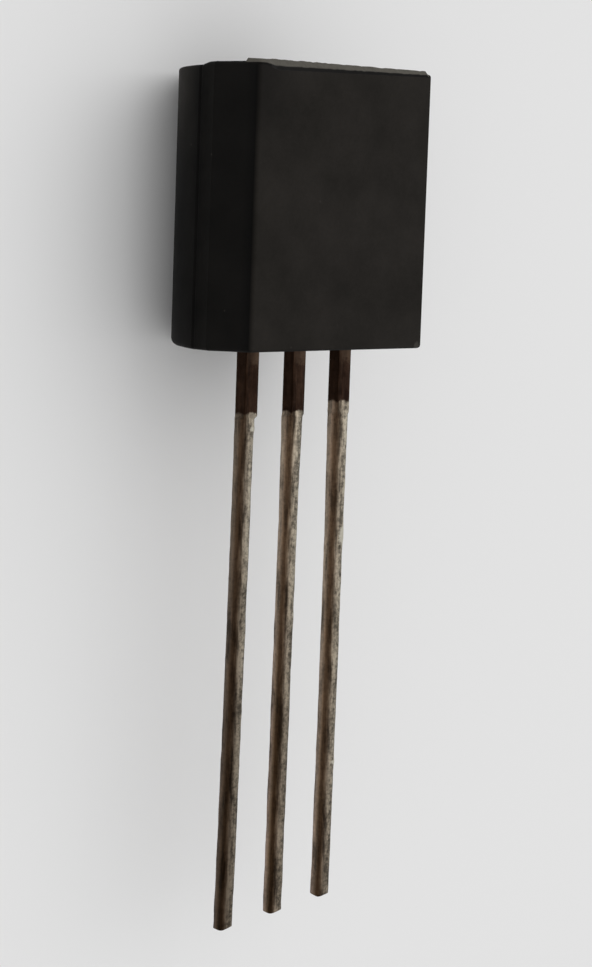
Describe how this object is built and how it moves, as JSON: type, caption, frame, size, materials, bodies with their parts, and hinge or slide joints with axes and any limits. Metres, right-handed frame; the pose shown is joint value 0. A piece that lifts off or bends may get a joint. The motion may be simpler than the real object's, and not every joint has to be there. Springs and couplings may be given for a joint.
{
  "type": "to-92 transistor",
  "caption": "Small three-lead transistor: black moulded case with one flat face and a round back, on long tinned leads stamped from one strip.",
  "frame": {"origin": "on the surface the part lies on, midway across the case and midway along the whole part, from the case's closed end to the longest lead's tip", "axes": "+Z out of the flat face, which lies upwards; +Y from the lead tips to the case; +X to the right, seen on the flat face with the leads pointing down"},
  "size_m": [0.0048, 0.0166, 0.0035],
  "materials": {
    "moulding_compound": "matte",
    "tinned_strip": "satin",
    "silicon": "polished",
    "soft_solder": "satin",
    "gold_wire": "polished"
  },
  "bodies": {
    "root": {"case": "moulding_compound", "emitter_lead": "tinned_strip", "collector_lead": "tinned_strip", "base_lead": "tinned_strip", "transistor_chip": "silicon", "chip_solder": "soft_solder", "emitter_bond_wire": "gold_wire", "base_bond_wire": "gold_wire"}
  },
  "joints": []
}
